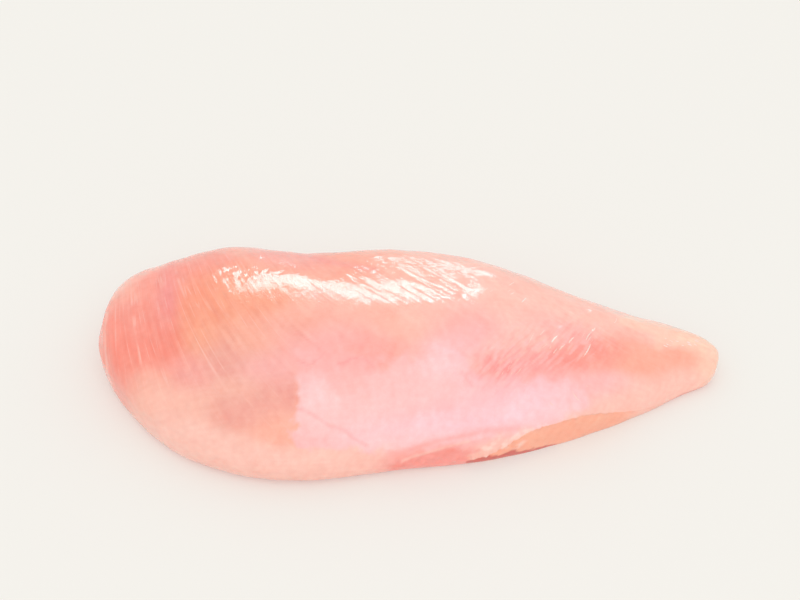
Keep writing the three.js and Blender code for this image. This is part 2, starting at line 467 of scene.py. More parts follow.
# %% Where each kind of surface lies: strength, then what its brush takes
FILM = [
    (298, 352), (295, 363), (293, 379), (299, 388), (298, 410), (291, 419), (295, 427),
    (287, 438), (300, 446), (340, 452), (380, 452), (440, 444), (505, 437), (552, 425),
    (594, 404), (585, 388), (545, 380), (505, 380), (480, 376), (464, 360), (456, 344),
    (441, 351), (424, 355), (405, 359), (396, 364), (372, 366), (382, 360), (356, 352),
    (328, 351),
]
TORN_EDGE, MELTING_EDGE, TORN_ACROSS, TORN_DOWN = (0.8, 0.5), (2.0, 0.8), (300, 400), (366, 384)
torn_film = (1 - ramp(place[..., 0], *TORN_ACROSS)) * ramp(place[..., 1], *TORN_DOWN)
film = patch(FILM, *TORN_EDGE, seed=11) * torn_film
film = (film + patch(FILM, *MELTING_EDGE, seed=11) * (1 - torn_film)) * facing
shoulder_fibres = marked(spot, [(1, (170, 325), (24, 26))])
feathers = marked(spot, [
    (1, (442, 280), (9, 5), 25), (0.7, (240, 268), (10, 4), -10), (0.7, (405, 262), (12, 2)),
    (0.3, (330, 280), (26, 4)), (0.7, (392, 292), (15, 3.5), 5),
])
gathers = marked(spot, [(1, (500, 362), (10, 7), -40), (1, (560, 345), (13, 7), -10)])
wet = marked(line, [
    (1, [(222, 274), (262, 274), (300, 290), (350, 292), (400, 294), (460, 296)], 3.2),
    (1, [(365, 262), (440, 262), (475, 272)], 2.5),
])
core = marked(line, [
    (1, [(268, 283), (300, 290), (335, 291)], 2.4),
    (0.6, [(335, 292), (400, 296), (442, 298)], 1.2),
])
wet *= 1 - 0.75 * core
calm = 1 - marked(spot, [(1, (360, 285), (46, 14), 3)])
upper = ramp(out[..., 2], -0.1, 0.3)
print("share of the skin under film:", film.mean().round(3), "and wet:", wet.mean().round(3))

# %% Creases and ridges: the pixels that each passes through, half width and height in mm
FOLDS = [
    ([(256, 273), (261, 280), (271, 285), (294, 290), (310, 294)], 0.35, -0.04),
    ([(321, 422), (342, 431), (353, 438), (366, 446)], 0.6, -0.2),
    ([(297, 360), (310, 363), (313, 367), (322, 360), (329, 350)], 0.5, -0.15),
    ([(462, 373), (467, 379), (472, 386)], 0.5, -0.25),
    ([(417, 454), (444, 446), (464, 442), (482, 438)], 0.7, 0.3),
    ([(519, 402), (524, 394), (530, 384)], 0.5, -0.15),
    ([(566, 383), (572, 392), (580, 400)], 0.7, 0.15),
    ([(214, 269), (232, 262), (256, 256)], 1.5, 0.26), ([(225, 277), (242, 269)], 0.6, 0.1),
    ([(244, 283), (262, 272)], 0.6, 0.1), ([(585, 354), (590, 342), (597, 329)], 0.8, 0.35),
    ([(550, 346), (558, 335), (563, 329)], 0.8, 0.3),
    ([(484, 360), (496, 350), (508, 340)], 0.8, 0.25),
    ([(492, 374), (500, 362), (512, 351)], 0.8, 0.25),
]
PLATEAU = [  # the same for broad rises and hollows that steer the long highlight
    ([(372, 305), (400, 306), (432, 305), (452, 299)], 2.8, 0.16),
    ([(388, 266), (425, 265), (462, 267)], 4.5, -0.6),
]
PLATEAU_RISE = [(0.24, (348, 277), (6.5, 2.6))]


def raised(lines):
    """The sum of several lines, each times its height, where the camera sees them."""
    return sum(height * line(points, width) for points, width, height in lines) * facing


folds = raised(FOLDS)
plateau = raised(PLATEAU) + marked(spot, PLATEAU_RISE)
print("folds:", len(FOLDS), "mm from", folds.min().round(2), "to", folds.max().round(2))

# %% Bundles, fibres and gathers: height in mm, and what is raised by it
strokes = streaks(s_across, s_along, 1.8, 9, 23)
bundles = streaks(across, along_way, 6, 60, 22) * upper * calm
fine_fibres = streaks(across, along_way, 2.2, 40, 21) * upper
BODY = [
    (0.14, lumps(skin, 28, 25) * upper * calm), (0.04, lumps(skin, 9, 26) * calm),
    (0.02, bundles), (0.06, bundles * shoulder_fibres),
    (0.006, fine_fibres), (0.016, fine_fibres * shoulder_fibres),
    (0.15, np.abs(strokes) * gathers), (0.06, streaks(across, along_way, 2.0, 11, 24) * feathers),
    (0.034, streaks(s_across, s_along, 1.4, 5, 29) * wet), (0.02, lumps(skin, 1.5, 30) * wet),
    (0.12, film),
]
relief = plateau + folds + sum(height * field for height, field in BODY)

# %% The torn edge, and the skin with all its relief
TORN = dict(columns=3.5, start=(84, 96), end=(150, 168), depth=0.1, more=0.14, until=(108, 122))
torn = bell(column - EDGE_COLUMN, TORN["columns"])
torn = torn * ramp(station, *TORN["start"]) * (1 - ramp(station, *TORN["end"]))
torn = torn * (TORN["depth"] + TORN["more"] * (1 - ramp(station, *TORN["until"])))
ragged = ripples(np.stack([x / 2.6, x / 5.1], -1), 27)
ragged = ragged + 0.6 * ripples(np.stack([x / 1.1, x / 2.3], -1), 28)
relief = relief + torn * ragged
shaped_skin = skin + out * relief[..., None] * (1 - on_base[..., None])
shaped_skin[..., 2] = np.maximum(shaped_skin[..., 2], 0)
print("relief, mm:", relief.min().round(2), "to", relief.max().round(2))

# %% [markdown]
# ## From grid to mesh
# Neighbouring grid points make four-sided faces, and a fan of triangles closes each end on a
# pole. Two UV maps carry the unrolled fibre and stroke coordinates, and attributes carry the
# paint and the masks, so that the finish follows the flesh.


# %% A closed mesh from rings
def skin_mesh(name, grid, poles):
    """A closed mesh from a grid whose rows are rings: quads between rings, triangles to the
    two poles, all wound so that they face outwards."""
    rows, columns = grid.shape[:2]
    points = np.concatenate([poles[:1], grid.reshape(-1, 3), poles[1:]]) * MM
    number = 1 + np.arange(rows * columns).reshape(rows, columns)
    after = np.roll(number, -1, axis=1)
    quads = np.stack([number[:-1], after[:-1], after[1:], number[1:]], -1).reshape(-1, 4)
    start = np.stack([np.zeros(columns, int), after[0], number[0]], -1)
    end = np.stack([np.full(columns, rows * columns + 1), number[-1], after[-1]], -1)
    mesh = bpy.data.meshes.new(name)
    mesh.from_pydata(points, [], quads.tolist() + start.tolist() + end.tolist())
    mesh.shade_smooth()
    return mesh


# %% Maps and masks
def add_map(mesh, name, across_grid, along_grid):
    """A UV map in centimetres from two grids that have one column more than the mesh, so
    that the seam under the breast keeps its own values."""
    grid = np.stack([across_grid, along_grid], -1) / 10
    quads = np.stack([grid[:-1, :-1], grid[:-1, 1:], grid[1:, 1:], grid[1:, :-1]], 2)
    first = np.stack([(grid[0, :-1] + grid[0, 1:]) / 2, grid[0, 1:], grid[0, :-1]], 1)
    last = np.stack([(grid[-1, :-1] + grid[-1, 1:]) / 2, grid[-1, :-1], grid[-1, 1:]], 1)
    corners = np.concatenate([part.ravel() for part in (quads, first, last)])
    mesh.uv_layers.new(name=name).data.foreach_set("uv", corners.astype(np.float32))


def add_mask(mesh, name, grid):
    """A point attribute from a grid of values, with each pole taking its ring's mean."""
    values = np.concatenate([[grid[0].mean()], grid.ravel(), [grid[-1].mean()]])
    layer = mesh.attributes.new(name, "FLOAT", "POINT")
    layer.data.foreach_set("value", values.astype(np.float32))


# %% Build the mesh
poles = np.array([shaped_skin[0].mean(0), shaped_skin[-1].mean(0)])
poles[:, 0] = (-LENGTH / 2, LENGTH / 2)
mesh = skin_mesh("chicken_breast_flesh", shaped_skin, poles)
add_map(mesh, "fibres", fibre_across, side_way)
add_map(mesh, "strokes", stroke_across, stroke_along)
flesh = placed("chicken_breast_flesh", mesh)
print("mesh:", len(mesh.vertices), "points,", len(mesh.polygons), "faces")

# %% [markdown]
# ## Painting the flesh
# Raw breast is not one pink. The shoulder is salmon red, the top is peach, the silverskin
# reads bluish pink over the muscle, the wall under the lip is a deeper orange, partly painted
# shade, and the tail's tip is cream. A picture wrapped round the form would bring its own light
# and shade with it. So the paint is mixed from a palette of eighteen tones, though a few marks
# below are painted light and shade. Each area is a soft oval of one tone, and the ovals are
# blended by their weights, so that neighbours melt into each other.

# %% Palette: screen colours from 0 to 255
PALETTE = dict(
    red=(250, 141, 124), salmon=(251, 160, 146), rose=(252, 172, 164), pink=(254, 182, 178),
    orange=(252, 167, 138), apricot=(253, 179, 158), peach=(254, 192, 175), pale=(255, 203, 190),
    cream=(255, 217, 195), dusk=(245, 169, 156), mauve=(246, 150, 150), sliver=(216, 112, 102),
    milky=(255, 199, 199), bluish=(255, 213, 215), wall=(255, 185, 158), fat=(255, 232, 222),
    strip=(251, 164, 156), rust=(250, 152, 123),
)


def linear(colour):
    """Light values from 0 to 1 of a screen colour, by the sRGB curve."""
    c = np.asarray(colour, float) / 255
    return np.where(c <= 0.04045, c / 12.92, ((c + 0.055) / 1.055) ** 2.4)


# %% Areas of each tone: middle in the picture, half widths in mm, turn in degrees
FLESH_AREAS = dict(
    red=[((120, 348), (6, 9)), ((162, 345), (6, 8))],
    salmon=[((138, 316), (8, 8)), ((168, 275), (8, 5)), ((195, 260), (8, 3)),
        ((115, 385), (4, 5)), ((590, 354), (10, 4), -5)],
    peach=[((120, 288), (4, 4), 20), ((152, 388), (6, 5)), ((240, 387), (6, 3)),
        ((190, 405), (6, 5)), ((335, 314), (10, 4)), ((400, 318), (10, 5)),
        ((400, 272), (10, 4))],
    mauve=[((167, 292), (2.5, 9), 5)],
    orange=[((222, 300), (8, 7)), ((258, 300), (8, 4)), ((198, 334), (5, 6))],
    rust=[((197, 298), (4, 6))],
    rose=[((190, 372), (6, 5)), ((368, 350), (8, 4)), ((300, 256), (10, 3), 15),
        ((505, 366), (7, 4.5), -40), ((540, 362), (7, 3), -10), ((402, 462), (7, 2.5), -12)],
    dusk=[((226, 360), (6, 5), 20), ((236, 412), (8, 4)), ((268, 398), (9, 6))],
    apricot=[((252, 335), (8, 5)), ((275, 426), (6, 4)), ((302, 321), (6, 4)),
        ((335, 270), (12, 4)), ((645, 361), (8, 4), 10), ((685, 357), (5, 3))],
    pale=[((185, 432), (8, 6), 40), ((240, 458), (10, 5), 15), ((300, 468), (14, 4)),
        ((358, 463), (8, 3.5), -5), ((430, 312), (10, 4)), ((450, 262), (8, 3), 20),
        ((525, 318), (12, 5), 15), ((500, 285), (9, 4), 25), ((526, 338), (9, 3.5), -10),
        ((585, 315), (12, 4), 20), ((650, 328), (9, 3), 22), ((672, 384), (9, 4), -15),
        ((620, 398), (12, 4), -10), ((505, 440), (7, 3), -14)],
    pink=[((270, 372), (9, 5)), ((325, 336), (14, 6)), ((465, 326), (10, 5)),
        ((560, 330), (9, 3), 20), ((562, 384), (9, 3.5), -8), ((470, 436), (8, 2), -12)],
    milky=[((450, 345), (7, 4), -20), ((600, 388), (8, 3), -8), ((485, 432), (12, 2.5), -12)],
    cream=[((690, 338), (5, 3), 20), ((711, 356), (4, 7))],
    strip=[((432, 456), (7, 2.5), -14)],
)
FILM_AREAS = dict(
    bluish=[((318, 398), (7, 5)), ((520, 412), (14, 5), -8), ((410, 432), (16, 4), -5),
        ((438, 362), (6, 4), -10)],
    milky=[((325, 419), (7, 4)), ((390, 395), (13, 7)), ((465, 395), (10, 7))],
    pink=[((350, 362), (14, 4)), ((495, 378), (8, 4)), ((345, 385), (5, 3))],
)
UNEVENNESS = (0.4, 1.8)


def blended(areas, base, weight):
    """Mean of the tones, each weighted by the bell curves of its ovals, and of a base tone
    that counts a little everywhere."""
    warp = np.clip(1 + 0.3 * lumps(skin, 7, 31), *UNEVENNESS)
    total = np.full(y.shape, weight)
    colour = total[..., None] * linear(PALETTE[base])
    for tone, ovals in areas.items():
        amount = sum(spot(*oval) for oval in ovals) * warp
        total = total + amount
        colour = colour + amount[..., None] * linear(PALETTE[tone])
    return colour / total[..., None]


# %% The ground: flesh areas, then veils of tone, strength and mask
def lay(colour, tone, mask):
    """The colour with a palette tone laid over it as thickly as the mask says."""
    mask = np.clip(mask, 0, 1)[..., None]
    return colour * (1 - mask) + linear(PALETTE[tone]) * mask


FOOT_SHADE, STREAKED, FILM_COVER = (0.6, 2.4), (0.3, 1.4), 0.9
back = (1 - facing) * (1 - on_base)
VEILS = [
    ("rose", 0.5, ramp(out[..., 1], 0.1, 0.8) * (1 - facing)),
    ("pale", 0.45, back * ramp(streaks(along_way, length_on, 7, 26, 35), *STREAKED)),
    ("salmon", 0.5, back * ramp(streaks(along_way, length_on, 9, 30, 36), *STREAKED)),
    ("peach", 0.7, ramp(-out[..., 2], 0.2, 0.8)),
    # Redder at the foot, next to the floor: a painted reddish contact shade.
    ("red", 0.7, (1 - ramp(skin[..., 2], *FOOT_SHADE)) * (1 - on_base)),
]
painted = blended(FLESH_AREAS, "peach", 0.05)
for tone, strength, mask in VEILS:
    painted = lay(painted, tone, strength * mask)
painted += (blended(FILM_AREAS, "milky", 0.2) - painted) * (FILM_COVER * film)[..., None]
print("tones of the flesh:", ", ".join(FLESH_AREAS))

# %% Marks in front: tone, strength, brush, and what the brush takes
TAIL_RIM = [
    (612, 320), (654, 336), (660, 347), (698, 345), (712, 356), (722, 350), (708, 332),
    (690, 325), (660, 318), (640, 312),
]
STRIP = [
    (384, 474), (398, 462), (418, 457), (444, 450), (468, 448), (478, 450), (466, 462),
    (430, 472),
]
FRONT_MARKS = [
    ("cream", 0.6, patch, TAIL_RIM, 1.2, 0.4, 15),
    ("strip", 0.8, patch, STRIP, 0.6, 0.3, 12),
    ("pink", 0.6, line, [(392, 455), (431, 442), (480, 431), (518, 428)], 1.0),
    ("rose", 0.35, line, [(410, 450), (445, 439), (478, 433)], 0.5),
    ("pale", 0.7, line, [(402, 461), (417, 455), (444, 447), (468, 441)], 0.45),
    ("red", 0.45, spot, (397, 467), (2.5, 1), -14),
    ("red", 0.45, spot, (450, 450), (3, 1.2), -14),
]


def lay_marks(colour, marks):
    """The colour with a list of marks laid over it in turn, where the camera sees them."""
    for tone, strength, brush, *mark in marks:
        colour = lay(colour, tone, strength * brush(*mark) * facing)
    return colour


painted = lay_marks(painted, FRONT_MARKS)
print("marks in front:", len(FRONT_MARKS))

# %% The wall under the lip, and flecks of fat above it
WALL_START, WALL_END = (112, 116), (162, 170)
WALL_END_PALE = ((646, 411), (6, 3), -10)
FLECKS = [
    ((495, 441), (2.4, 0.9), -40), ((505, 446), (1.6, 0.8), -20), ((514, 438), (3, 0.6), -30),
    ((526, 432), (3, 0.5), -22), ((487, 448), (1.8, 0.7), -15), ((520, 445), (2.2, 0.5), -35),
]
FAT_PATCHINESS = 0.8
# The wall under the lip is painted orange: partly the flesh's own tone, partly painted shade under
# the lip.
wall = under_edge * ramp(station, *WALL_START) * (1 - ramp(station, *WALL_END))
painted = lay(painted, "wall", wall)
# A pale spot at the wall's end: painted light against the shade of the lip there.
painted = lay(painted, "pale", 0.8 * under_edge * spot(*WALL_END_PALE))
fat = sum(spot(*oval) for oval in FLECKS) * (1 + FAT_PATCHINESS * lumps(skin, 1.6, 34))
painted = lay(painted, "fat", 0.5 * np.clip(fat, 0, 1) * facing)
print("flecks of fat:", len(FLECKS))

# %% Fine marks, and a duller and a cooler area
# The dark red sliver under the lip, at the foot: a lower layer of flesh, darkened as painted
# shade.
SHADED_SLIVER = [
    (466, 461), (486, 458), (507, 453), (530, 449), (556, 443), (560, 446), (530, 458),
    (500, 470), (466, 468),
]
FINE_MARKS = [
    ("sliver", 1, patch, SHADED_SLIVER, 0.3, 0.25, 13),
    ("salmon", 0.9, line, [(104, 318), (100, 340), (101, 356), (105, 373)], 0.9),
    # The next two pale lines on the shoulder's rims are painted highlights of its moist edges.
    ("pale", 0.55, line, [(107, 313), (104.5, 330), (104.5, 352), (108, 376), (114, 396)], 0.4),
    ("pale", 0.5, line, [(111, 297), (130, 281), (165, 265)], 1.0),
    # Mauve lines along the creases and wrinkles of the film: painted crease shade.
    ("mauve", 0.3, line,
     [(299, 409), (312, 414), (329, 426), (345, 430), (353, 438), (366, 445)], 0.5),
    ("mauve", 0.3, line, [(297, 360), (304, 363), (311, 366), (316, 361), (322, 356)], 0.4),
    ("mauve", 0.35, line, [(338, 364), (346, 363), (352, 358), (366, 360), (373, 366)], 0.5),
    ("mauve", 0.3, line, [(462, 372), (467, 378), (472, 386)], 0.5),
]
DULL, DULL_TINT = [(1, (235, 376), (32, 25))], (-0.075, 0, 0)
COOL, COOL_TINT = [(1, (512, 372), (18, 14)), (1, (450, 420), (28, 5), -8)], (0, 0.02, 0.1)
FAR_SHADE = [("mauve", 0.35, line, [(300, 255), (330, 262), (375, 270)], 1.0)]
painted = lay_marks(painted, FINE_MARKS)
tint = marked(spot, DULL)[..., None] * DULL_TINT + marked(spot, COOL)[..., None] * COOL_TINT
painted = lay_marks(painted * (1 + tint), FAR_SHADE)
print("fine marks:", len(FINE_MARKS) + len(FAR_SHADE))

# %% Wrinkles of the gathers, grain and mottling
GRAIN, TOP, LENGTHWISE, GRAIN_TURNS = 0.012, ((220, 315), (40, 24)), 0.8, (350, 400)
FINE_MOTTLE, BROAD_MOTTLE, MOTTLE_BY_CHANNEL = 0.022, 0.02, [0.3, 1, 1.1]
WARMTH = (1, 0.965, 0.96)
wrinkles = strokes + 0.8 * streaks(s_across, s_along, 1.0, 6, 37)
# Mauve and milky streaks across the gathered wrinkles: pale tissue, together with painted shade
# and sheen of the wrinkles, which the even light leaves unseen.
painted = lay(painted, "mauve", 0.35 * gathers * ramp(wrinkles, 0.3, 1.8))
painted = lay(painted, "milky", 0.6 * gathers * ramp(-wrinkles, 0.2, 1.6))
lengthwise = LENGTHWISE * streaks(along_way, length_on, 1.8, 24, 38)
slanting = streaks(across, along_way, 1.5, 30, 39)
low_side = ramp(place[..., 1], *GRAIN_TURNS) * facing
grain = slanting * (1 - low_side) + lengthwise * low_side
grain *= GRAIN * (1 + spot(*TOP)) * (1 - film / 2) * np.clip(1 + 0.6 * lumps(skin, 9, 40), 0, 2)
mottle = 1 + FINE_MOTTLE * lumps(skin, 2.4, 32) + BROAD_MOTTLE * lumps(skin, 8, 33) + grain
painted = np.clip(painted * WARMTH * mottle[..., None] ** MOTTLE_BY_CHANNEL, 0, 1)
print("mean paint:", painted.mean((0, 1)).round(3))

# %% Store the paint and the masks
FIBRES_ALL_OVER, SHOULDER_SHARE, TOP_SHARE, TOP_FIBRES = 0.25, 0.75, 0.3, ((270, 320), (20, 20))
HIDDEN_BY_FILM, WET_CRINKLE = 0.8, 0.8
rgba = np.concatenate([painted, np.ones_like(painted[..., :1])], -1)
colours = np.concatenate([rgba[0].mean(0)[None], rgba.reshape(-1, 4), rgba[-1].mean(0)[None]])
mesh.color_attributes.new("paint", "FLOAT_COLOR", "POINT").data.foreach_set(
    "color", colours.ravel().astype(np.float32))
fibre_marks = FIBRES_ALL_OVER + SHOULDER_SHARE * shoulder_fibres + TOP_SHARE * spot(*TOP_FIBRES)
fibre_marks = np.clip(fibre_marks, 0, 1) * (1 - HIDDEN_BY_FILM * film) * upper
crinkle = np.maximum(feathers, WET_CRINKLE * wet)
MASKS = dict(fibre_marks=fibre_marks, film=film, crinkle=crinkle, gather=gathers)
for name, grid in MASKS.items():
    add_mask(mesh, name, grid)
print("masks:", ", ".join(MASKS))


# %% [markdown]
# ## The finish
# Raw meat is translucent: light enters, spreads a few millimetres and comes out redder. A plain
# pink looks like plastic, so the shader uses subsurface scattering. A thin coat of moisture lies
# on top and gives the sharp highlights. Streak textures on the fibre map draw the pale strands
# and raise them slightly.


# %% Shader helpers
def new_material(name):
    """An empty material with node tools: `make` adds a node with settings and inputs, and an
    input may be a value or another node's socket."""
    material = bpy.data.materials.new(name)
    material.use_nodes = True
    tree = material.node_tree
    shader = tree.nodes["Principled BSDF"]

    def put(node, inputs):
        for key, value in inputs.items():
            if isinstance(value, bpy.types.NodeSocket):
                tree.links.new(value, node.inputs[key])
            else:
                node.inputs[key].default_value = value

    def make(kind, settings=None, inputs=None, output=0):
        node = tree.nodes.new("ShaderNode" + kind)
        for key, value in (settings or {}).items():
            setattr(node, key, value)
        put(node, inputs or {})
        return node.outputs[output]

    return material, shader, make, put


def mask_of(make, name):
    """A point attribute as a number."""
    return make("Attribute", {"attribute_name": name}, output="Fac")


def maths(make, operation, first, *others):
    """One operation on numbers or sockets, carried on from each to the next."""
    for other in others:
        first = make("Math", {"operation": operation}, {0: first, 1: other})
    return first


def added_up(make, *products):
    """The sum of several products of masks and amounts."""
    return maths(make, "ADD", *[maths(make, "MULTIPLY", *product) for product in products])


def noise(make, vector, scale, detail, roughness=0.5):
    """Noise of one scale on a vector."""
    return make("TexNoise", inputs={
        "Vector": vector, "Scale": scale, "Detail": detail, "Roughness": roughness})


def ranged(make, value, low, high, kind="LINEAR", start=0.0, end=1.0):
    """A value whose stretch from low to high is mapped to start to end."""
    return make("MapRange", {"interpolation_type": kind}, {
        "Value": value, "From Min": low, "From Max": high, "To Min": start, "To Max": end})


def mixed(make, factor, colour, tint, blend="MIX"):
    """A colour mixed with a tint, or multiplied by it, as far as the factor says."""
    return make("Mix", {"data_type": "RGBA", "blend_type": blend},
                {"Factor": factor, 6: colour, 7: tint}, 2)


# %% Streaks and thin lines along the fibres
def stretched_noise(make, uv_map, scale, detail, roughness):
    """Noise on a UV map in centimetres, squeezed by the scale of each direction."""
    uv = make("UVMap", {"uv_map": uv_map})
    squeezed = make("Mapping", inputs={"Vector": uv, "Scale": scale})
    return noise(make, squeezed, 1.0, detail, roughness)


def streak_texture(make, uv_map, scale, detail, low, high):
    """Stretched noise whose values between low and high are spread over 0 to 1."""
    stretched = stretched_noise(make, uv_map, scale, detail, 0.55)
    return ranged(make, stretched, low, high, "SMOOTHSTEP")


def thin_lines(make, uv_map, scale, width):
    """Thin broken lines along a UV map: 1 where a stretched noise passes through its middle
    value and 0 from `width` away, times a second, patchy noise."""
    middle = maths(make, "SUBTRACT", stretched_noise(make, uv_map, scale, 1.0, 0.4), 0.5)
    thin = ranged(make, maths(make, "ABSOLUTE", middle, 0.0), width, 0.0, "SMOOTHSTEP")
    patchy = noise(make, make("UVMap", {"uv_map": uv_map}), 1.6, 1.0)
    return maths(make, "MULTIPLY", thin, ranged(make, patchy, 0.4, 0.65))


# %% The flesh's material
PALE_FIBRE, DEEP_GAP = (1.0, 0.66, 0.58, 1), (0.99, 0.84, 0.8, 1)
CLOUDED, SPECKLED = (1.0, 0.93, 0.92, 1), (1.0, 0.85, 0.84, 1)
BUMP_DISTANCE = 0.0001
MATTNESS, FILM_GLOSS = (0.34, 0.5), 0.06


def flesh_material():
    """Paint, pale strands and mottling for the colour; strands, crinkles and pores for the
    bump; scattering and a moist coat from the shader's own sockets."""
    material, shader, make, put = new_material("moist_raw_flesh")
    fibre_marks, film_mask = mask_of(make, "fibre_marks"), mask_of(make, "film")
    crinkle, gather = mask_of(make, "crinkle"), mask_of(make, "gather")
    strands = thin_lines(make, "fibres", (4.0, 0.12, 1.0), 0.018)
    gaps = streak_texture(make, "fibres", (5.0, 0.2, 1.0), 2.0, 0.35, 0.7)
    threads = streak_texture(make, "fibres", (14.0, 0.5, 1.0), 2.0, 0.35, 0.7)
    gathered = streak_texture(make, "strokes", (8.0, 1.6, 1.0), 3.0, 0.5, 0.75)
    wet_folds = streak_texture(make, "fibres", (7.0, 1.0, 1.0), 1.5, 0.35, 0.68)
    here = make("TexCoord", output="Object")
    cloud = noise(make, here, 420.0, 5.0, 0.6)
    specks = ranged(make, noise(make, here, 1400.0, 3.0, 0.7), 0.4, 0.65)
    pores = noise(make, here, 1150.0, 2.0, 0.6)

    colour = make("Attribute", {"attribute_name": "paint"}, output="Color")
    # Texture, mask, and how strongly it shows
    pale = added_up(make, (strands, fibre_marks, 0.45), (threads, fibre_marks, 0.12),
                    (gathered, gather, 0.4))
    colour = mixed(make, pale, colour, PALE_FIBRE)
    clouds = ranged(make, cloud, 0.3, 0.7)
    for tint, *shown in (
        (DEEP_GAP, gaps, fibre_marks, 0.22), (CLOUDED, clouds, 0.4), (SPECKLED, specks, 0.3),
    ):
        colour = mixed(make, maths(make, "MULTIPLY", *shown), colour, tint, "MULTIPLY")

    # Texture, mask, and how high it stands in tenths of a millimetre
    height = added_up(make, (strands, fibre_marks, 0.12), (wet_folds, crinkle, 0.6),
                      (gathered, gather, 0.5), (threads, 0.06), (pores, 0.4))
    bump = make("Bump", inputs={"Height": height, "Strength": 1.0, "Distance": BUMP_DISTANCE})
    rough = ranged(make, cloud, 0.3, 0.7, "LINEAR", *MATTNESS)
    rough = maths(make, "SUBTRACT", rough, maths(make, "MULTIPLY", film_mask, FILM_GLOSS))
    shader.subsurface_method = "BURLEY"
    put(shader, {
        "Base Color": colour,
        "Roughness": rough,
        "Normal": bump,
        "IOR": 1.4,
        "Specular IOR Level": 0.06,
        "Subsurface Weight": 0.6,
        "Subsurface Radius": (2.6, 0.6, 0.35),
        "Subsurface Scale": 0.0009,
        "Coat Weight": 1.0,
        "Coat Roughness": 0.05,
        "Coat IOR": 1.36,
        "Coat Normal": bump,
    })
    return material


mesh.materials.append(flesh_material())
print("material:", mesh.materials[0].name)

# %% [markdown]
# ## Strands of silverskin, and painted glints
# A trimmed breast still carries hair-thin strands of connective tissue, too fine for the
# grid. Hair curves would do, but they aren't kept as a mesh. So each strand is a flat closed
# ribbon that tapers to points. Its path is drawn in the picture and dropped along the camera's
# lines of sight on to the skin. The plain ones are listed, and the rest are drawn at random.
# Thicker strands are whiter, and the short thick white ones are painted glints on the wet
# wrinkles.

# %% Strands: path pixels, thickness in mm; the short thick ones are white painted glints
STRANDS = [
    ([(134, 290), (132, 310), (132, 335), (136, 362)], 0.22),
    ([(149, 284), (149, 305), (152, 335), (156, 366)], 0.25),
    ([(169, 288), (171, 308), (176, 332), (186, 358), (198, 381)], 0.25),
    ([(199, 314), (204, 330), (215, 346), (228, 361)], 0.22),
    ([(231, 360), (243, 361), (253, 359), (262, 368), (272, 373)], 0.25),
    ([(277, 397), (287, 405), (299, 412)], 0.26),
    ([(243, 416), (233, 423), (228, 432), (229, 443)], 0.25),
    ([(527, 346), (531, 339), (535, 331)], 0.4), ([(551, 343), (554, 339), (558, 335)], 0.6),
    ([(540, 351), (546, 345), (551, 343)], 0.35), ([(568, 344), (571, 340), (575, 336)], 0.45),
    ([(585, 343), (588, 336), (594, 330)], 0.42), ([(583, 357), (588, 350), (591, 342)], 0.48),
    ([(592, 333), (597, 329), (604, 326)], 0.3), ([(588, 347), (592, 341), (596, 333)], 0.3),
    ([(611, 324), (616, 321), (615, 315)], 0.4), ([(572, 388), (575, 396), (582, 402)], 0.4),
    ([(128, 368), (140, 392), (160, 414), (186, 434)], 0.15),
    ([(150, 388), (176, 416), (210, 440), (252, 456)], 0.15),
    ([(185, 398), (215, 423), (255, 444), (300, 456)], 0.14),
    ([(172, 352), (196, 380), (232, 402), (270, 416)], 0.15),
    ([(205, 372), (238, 392), (262, 402)], 0.15), ([(300, 400), (315, 412), (334, 422)], 0.15),
    ([(299, 361), (311, 366), (318, 361), (329, 350)], 0.25),
    ([(521, 303), (524, 300), (527, 297)], 0.5),
]
# Columns of the picture, and the angle at which the fibres run there
FLOW = ([105, 150, 180, 220, 270, 330], [95, 86, 76, 60, 50, 46])
LEAN, FREE_LEAN = 3, 8
WISPS = [  # count, middle, spread and length in pixels, thickness in mm, seed, angle
    (48, (160, 310), (36, 18), (26, 64), (0.14, 0.27), 41),
    (34, (255, 315), (45, 16), (20, 50), (0.12, 0.2), 42),
    (50, (504, 362), (22, 18), (8, 26), (0.16, 0.32), 43, -50),
    (16, (562, 346), (26, 10), (5, 14), (0.2, 0.42), 44, -50),
    (22, (682, 341), (20, 4), (3, 8), (0.3, 0.5), 45, 25),
    (14, (490, 292), (22, 7), (5, 11), (0.2, 0.45), 46, -30),
    (16, (330, 352), (38, 7), (5, 15), (0.14, 0.28), 47, 25),
    (16, (556, 392), (32, 9), (4, 10), (0.2, 0.35), 48, 50),
    (12, (424, 451), (30, 3), (6, 14), (0.14, 0.28), 49, -16),
]


def wisps(count, middle, spread, length, thickness, seed, angle=None):
    """Strands that start at random in a box round a pixel and run in four steps, at the angle
    given or at the fibres' own angle there, turned by a few degrees of their own."""
    rng = np.random.default_rng(seed)
    paths = []
    for _ in range(count):
        at = np.array(middle) + rng.uniform(-1, 1, 2) * spread
        lean = rng.normal(0, LEAN if angle is None else FREE_LEAN)
        step, points = rng.uniform(*length) / 4, [at]
        for _ in range(4):
            turn = math.radians((np.interp(at[0], *FLOW) if angle is None else angle) + lean)
            at = at + step * np.array([math.cos(turn), math.sin(turn)])
            points.append(at)
        paths.append((points, rng.uniform(*thickness)))
    return paths


STRANDS += [path for field in WISPS for path in wisps(*field)]
print("strands:", len(STRANDS))


# %% Drop the paths on to the skin
FLATNESS, LIFT, TIPS = 0.15, 0.02, (0.002, 0.998)


def sight_line(pixel):
    """Where the line of sight through a pixel meets the flesh, and the normal there."""
    right, down = pixel[0] - PICTURE[0] / 2, pixel[1] - PICTURE[1] / 2
    direction = FORWARD + (right * RIGHT - down * UP) / FOCAL
    place, normal, _, _ = tree.ray_cast(Vector(CAMERA * MM), Vector(direction).normalized())
    return np.array(place), np.array(normal)


